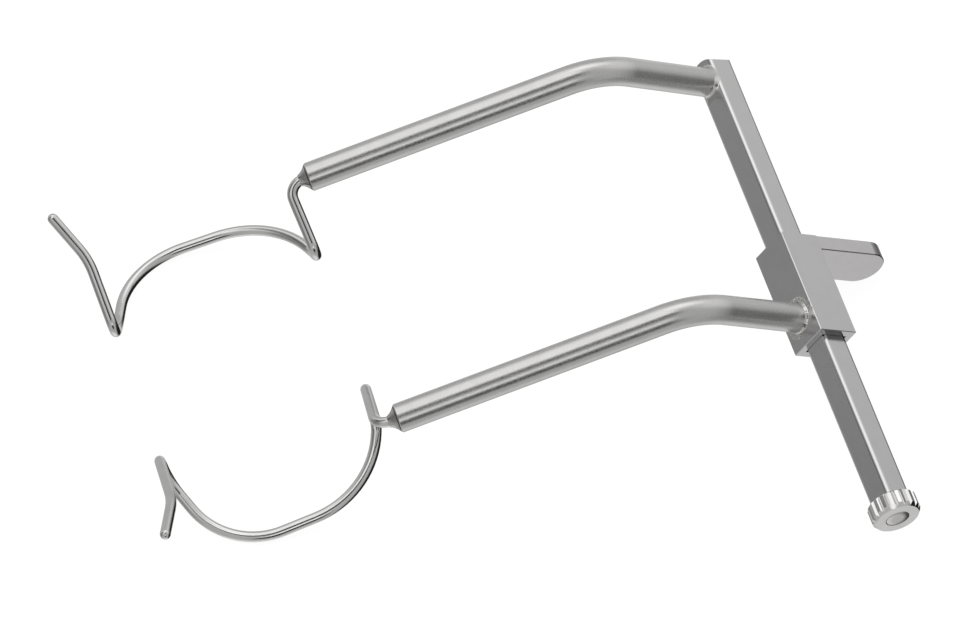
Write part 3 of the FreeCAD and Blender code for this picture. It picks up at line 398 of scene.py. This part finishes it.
def bend_rod(foot):
    """A rod from its foot's distance off the rail's axis, over the knee, to its broken tip."""
    form = bmesh.new()
    upright = Matrix.Rotation(math.pi / 2, 4, "Y")
    foot_ring = bmesh.ops.create_circle(form, segments=96, radius=rod_radius, matrix=upright)["verts"]
    bmesh.ops.translate(form, vec=(foot, 0, 0), verts=foot_ring)
    grown = bmesh.ops.extrude_edge_only(form, edges=form.edges[:])["geom"]
    ring = [part for part in grown if isinstance(part, bmesh.types.BMVert)]
    last = [part for part in grown if isinstance(part, bmesh.types.BMEdge)]
    bmesh.ops.translate(form, vec=(-foot, 0, 0), verts=ring)
    bmesh.ops.rotate(form, cent=(0, 0, 0), matrix=Matrix.Rotation(-rod_rise, 3, "Y"), verts=ring)
    bmesh.ops.translate(form, vec=knee_start, verts=ring)
    bend = bmesh.ops.spin(form, geom=ring + last, cent=knee_centre, axis=(0, 1, 0), angle=knee_turn,
                          steps=knee_steps)
    last = [part for part in bend["geom_last"] if isinstance(part, bmesh.types.BMEdge)]
    for run, shrink in ((forearm - knee_tangent - rod_tip_break, 0), (rod_tip_break, rod_tip_break)):
        grown = bmesh.ops.extrude_edge_only(form, edges=last)["geom"]
        ring = [part for part in grown if isinstance(part, bmesh.types.BMVert)]
        last = [part for part in grown if isinstance(part, bmesh.types.BMEdge)]
        bmesh.ops.translate(form, vec=rod_down * run, verts=ring)
        middle = sum((vert.co for vert in ring), Vector()) / len(ring)
        narrower = 1 - shrink / rod_radius
        bmesh.ops.scale(form, vec=(narrower,) * 3, space=Matrix.Translation(-middle), verts=ring)
    bmesh.ops.holes_fill(form, edges=form.edges[:])
    drawn = form.verts.layers.float_vector.new("drawn")
    for vert in form.verts:
        vert[drawn] = before_the_bend(vert.co)
    return form


satin_rod = steel_finish("satin_rod", (0.63, 0.625, 0.62), 0.29, (0.3 * mm, 0.09 * mm, 0.09 * mm),
                         0.0009 * mm, cloud=0.05, lay="drawn")
fixed_setback = 2.05 * mm
moving_setback = 27.98 * mm
rail_side = 1.3 * mm
sleeve_side = 2.025 * mm
for name, body, foot, setback in (("fixed_arm", "frame", rail_side, fixed_setback),
                                  ("moving_arm", "slider", sleeve_side, moving_setback)):
    rod = place_piece(name + "_rod", bend_rod(foot), body, satin_rod, setback)
    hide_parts(name)


# Each blade's root is brazed into its arm's tip. The braze pulled up into a hollow cone, which was filed and
# buffed.
# The shade in the fine groove where it meets the rod's edge is painted into its colour as a dark line.
def spin_profile(form, profile, foot, way, steps=96):
    """Turn a profile of distance along an axis and off it, in millimetres, about a foot in metres."""
    off = way.orthogonal().normalized()
    chain = [form.verts.new(foot + (way * along + off * out) * mm) for along, out in profile]
    joins = [form.edges.new(pair) for pair in zip(chain[:-1], chain[1:])]
    bmesh.ops.spin(form, geom=chain + joins, cent=foot, axis=way, angle=math.tau, steps=steps,
                   use_merge=True)
    bmesh.ops.remove_doubles(form, verts=form.verts[:], dist=meeting)
    bmesh.ops.holes_fill(form, edges=form.edges[:])


braze_silver = steel_finish("braze_silver", (0.5, 0.49, 0.48), 0.18, (0.12 * mm,) * 3, 0.002 * mm,
                            cloud=0.12)
# Painted shade: the cone's colour is near black for 0.07 mm past the rod's tip and fades out by 0.13 mm, standing
# for the shade in the groove at the rod's edge.
seam_shade_full = 0.07
seam_shade_end = 0.13
braze_nodes = braze_silver.node_tree.nodes
braze_links = braze_silver.node_tree.links
along_tip = braze_nodes.new("ShaderNodeVectorMath")
along_tip.operation = "DOT_PRODUCT"
tip_way = laid.to_3x3() @ rod_down
along_tip.inputs[1].default_value = tip_way
braze_links.new(braze_nodes.new("ShaderNodeTexCoord").outputs["Object"], along_tip.inputs[0])
seam = braze_nodes.new("ShaderNodeMapRange")
seam.inputs["From Min"].default_value = tip_way.dot(laid @ rod_tip) + seam_shade_full * mm
seam.inputs["From Max"].default_value = tip_way.dot(laid @ rod_tip) + seam_shade_end * mm
seam.inputs["To Min"].default_value = 1
seam.inputs["To Max"].default_value = 0
braze_links.new(along_tip.outputs["Value"], seam.inputs["Value"])
seam_shaded = braze_nodes.new("ShaderNodeMix")
seam_shaded.data_type = "RGBA"
# Near black: the painted shade in that groove.
seam_shaded.inputs["B"].default_value = (0.06, 0.06, 0.06, 1)
silver = braze_nodes["Principled BSDF"].inputs["Base Color"]
braze_links.new(silver.links[0].from_socket, seam_shaded.inputs["A"])
braze_links.new(seam.outputs["Result"], seam_shaded.inputs["Factor"])
braze_links.new(seam_shaded.outputs["Result"], silver)
cone_profile = ((-0.03, 1.1), (-0.02, 1.19), (0.03, 1.2), (0.06, 1.15), (0.12, 1.09), (0.3, 0.87),
                (0.5, 0.69), (0.7, 0.57), (0.85, 0.5), (0.87, 0.4))
for name, body, setback in (("fixed_blade_braze", "frame", fixed_setback),
                            ("moving_blade_braze", "slider", moving_setback)):
    form = bmesh.new()
    spin_profile(form, cone_profile, rod_tip, rod_down)
    cone = place_piece(name + "_cone", form, body, braze_silver, setback)
    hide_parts(name)


# The moving arm's foot is brazed to the sleeve. A thin bright fillet is left round it, and
# the sleeve's face is rippled beside it where the filler ran: over the top, and at the foot.
def wrap_bead(rows, place):
    """A band of bead round an arm's foot: place gives a point for the way round and the row."""
    form = bmesh.new()
    around = 480
    bmesh.ops.create_grid(form, x_segments=around, y_segments=rows - 1, size=1)
    for vert in form.verts:
        turn = round((vert.co.x + 1) / 2 * around) % around / around * math.tau
        vert.co = place(turn, round((vert.co.y + 1) / 2 * (rows - 1)))
    bmesh.ops.remove_doubles(form, verts=form.verts[:], dist=meeting)
    bmesh.ops.holes_fill(form, edges=form.edges[:])
    return form


def near_way(turn, middle, half):
    """How near a way round is to a middle way: one there, nothing at its half width and beyond."""
    apart = abs((turn - math.radians(middle) + math.pi) % math.tau - math.pi) / math.radians(half)
    return max(0.0, 1 - apart * apart)


def ripples(place, size):
    """Uneven waves of run filler at a place, above and below nothing by about one."""
    wave = noise.noise(place / size) + 0.6 * noise.noise(place / size * 2.1 + Vector((5, 2, 7)))
    return wave * 1.4


moving_fillet = ((0.34, 1.2), (0.34, 1.295), (0.28, 1.32), (0.22, 1.345), (0.16, 1.375), (0.1, 1.41),
                 (0.055, 1.45))
skin_rows = 22
skin_start = moving_fillet[-1][1]
skin_edge = 1.98
moving_rows = len(moving_fillet) + skin_rows + 1


def moving_bead(turn, row):
    """Rows from inside the rod, down the fillet and out over the sleeve's face, and into it."""
    way = Vector((0, math.sin(turn), math.cos(turn)))
    thinner = 1 - 0.4 * near_way(turn, 130, 60)
    if row < len(moving_fillet):
        height, out = moving_fillet[row]
        uneven = 0.02 * ripples(way * 1.4, 0.3) if row > 1 else 0
        return Vector((sleeve_side + height * thinner * mm, 0, 0)) + way * (out + uneven) * mm
    share = (row - len(moving_fillet) + 1) / skin_rows
    edge = skin_edge + 0.07 * ripples(way * 1.9, 0.35)
    if share > 1:
        return Vector((sleeve_side - 0.1 * mm, 0, 0)) + way * edge * mm
    out = skin_start + (edge - skin_start) * share
    rough = 0.12 + near_way(turn, -52, 58) + near_way(turn, 125, 36)
    wave = ripples(way * out, 0.11) * rough * math.sin(math.pi * min(1, share * 1.15)) ** 0.7
    height = 0.035 * (1 - share) ** 2 + 0.085 * wave * share ** 0.5
    return Vector((sleeve_side + (height + 0.004 * (1 - share)) * mm, 0, 0)) + way * out * mm


weld_steel = steel_finish("weld_steel", (0.64, 0.635, 0.62), 0.22, (0.12 * mm,) * 3, 0.002 * mm,
                          cloud=0.1)
moving_weld = place_piece("moving_arm_weld", wrap_bead(moving_rows, moving_bead), "slider", weld_steel,
                          moving_setback)
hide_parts("moving_arm_bead")

# The fixed arm is as thick as the rail, so its bead is dressed down level with the light face,
# fills the rail's rounded edge there and is scribed off straight on the side of the knob.
rail_edge = 0.38
rail_half = 1.3
bead_inside = 1.295
bead_top = 1.62
bead_narrow = 1.65
bead_wide = 2.05
bead_scribed = 1.87
fixed_fillet = ((0.0, 0.0), (0.0, 0.0), (0.1, 0.42), (0.2, 0.62), (0.34, 0.76), (0.5, 0.85),
                (0.66, 0.91), (0.8, 0.955), (0.9, 0.98), (1.0, 1.0), (1.0, 1.0))


def fixed_bead(turn, row):
    """Rows from inside the rod, down over the rail's edge to the bead's limit, and into it."""
    across = math.sin(turn)
    up = math.cos(turn)
    limit = min(bead_wide, bead_scribed / across) if across > 0.5 else bead_narrow
    flush = rail_half - 0.1 * across * across
    level = min(max(limit * up, -flush), flush)
    out = level / up if abs(level) == flush else limit
    over = max(0.0, abs(level) - (rail_half - rail_edge))
    side = rail_half - rail_edge + math.sqrt(max(0.0, rail_edge ** 2 - over ** 2))
    spread, drop = fixed_fillet[row]
    spread += (drop - spread) * near_way(turn, 0, 70)
    radius = bead_inside + (out - bead_inside) * spread
    height = bead_top + (side - bead_top) * drop
    if row == 0:
        radius = 1.2
    elif row == len(fixed_fillet) - 1:
        return Vector((side - 0.12, out * across * 0.96, level * 0.93)) * mm
    elif row > 2:
        rough = 0.1 + near_way(turn, 100, 45)
        height += 0.045 * ripples(Vector((0, across, up)) * radius, 0.14) * rough * (1 - drop) * spread * 3
    return Vector((height, across * radius, up * radius)) * mm


fixed_weld = place_piece("fixed_arm_weld", wrap_bead(len(fixed_fillet), fixed_bead), "frame", weld_steel,
                         fixed_setback)
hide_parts("fixed_arm_bead")

# The bead in the thumb rest's inner corner is braze too. It fixes the plate to the sleeve,
# and is left speckled and unpolished.
corner_braze = steel_finish("corner_braze", (0.55, 0.54, 0.52), 0.33, (0.1 * mm,) * 3, 0.008 * mm,
                            cloud=0.3)
give_finish(["thumb_rest_bead"], corner_braze)

# The lead screw is turned from rod: a thin journal, a fine thread with two starts as far as
# the bearing, a plain shank and a flat head, which shows in the knob's face a little off
# the middle of its recess.
screw_steel = steel_finish("screw_steel", (0.6, 0.59, 0.58), 0.27, (0.07 * mm,) * 3, 0.0008 * mm,
                           lay="turned")
thread_start = 10.2
thread_end = 44.1
thread_lead = 0.7
thread_crest = 0.55
thread_root = 0.42
turn_steps = 24
form = bmesh.new()
tooth = [(0.0, thread_root), (0.05, thread_root), (0.15, thread_crest), (0.2, thread_crest),
         (0.3, thread_root)]
starts = tooth + [(along + thread_lead / 2, out) for along, out in tooth] + [(thread_lead, thread_root)]
chain = [form.verts.new(Vector((out, thread_start - thread_lead + along, 0)) * mm) for along, out in starts]
joins = [form.edges.new(pair) for pair in zip(chain[:-1], chain[1:])]
turns = math.ceil((thread_end - thread_start) / thread_lead) + 1
bmesh.ops.spin(form, geom=chain + joins, cent=(0, 0, 0), axis=(0, 1, 0), angle=math.tau * turns,
               dvec=(0, thread_lead / turn_steps * mm, 0), steps=turn_steps * turns)
bmesh.ops.remove_doubles(form, verts=form.verts[:], dist=0.001 * mm)
for end, away in ((thread_start, -1), (thread_end, 1)):
    bmesh.ops.bisect_plane(form, geom=form.verts[:] + form.edges[:] + form.faces[:], dist=0.0001 * mm,
                           plane_co=(0, end * mm, 0), plane_no=(0, away, 0), clear_outer=True)
bmesh.ops.holes_fill(form, edges=form.edges[:])
middle = Vector((0, 0, 0))
head_middle = Vector((-0.018, 0, -0.022)) * mm
spin_profile(form, ((8.2, 0.0), (8.2, 0.3), (8.25, 0.35), (thread_start + 0.05, 0.35),
                    (thread_start + 0.05, 0.0)), middle, along_rail, steps=48)
spin_profile(form, ((thread_end - 0.02, 0.0), (thread_end - 0.02, thread_crest), (48.52, thread_crest),
                    (48.52, 0.0)), middle, along_rail, steps=48)
spin_profile(form, ((48.5, 0.0), (48.5, 1.02), (48.94, 1.02), (48.975, 1.0), (49.0, 0.96), (49.006, 0.5),
                    (49.008, 0.0)), head_middle, along_rail)
lead_screw = place_piece("lead_screw_turned", form, "screw", screw_steel)
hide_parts("lead_screw")
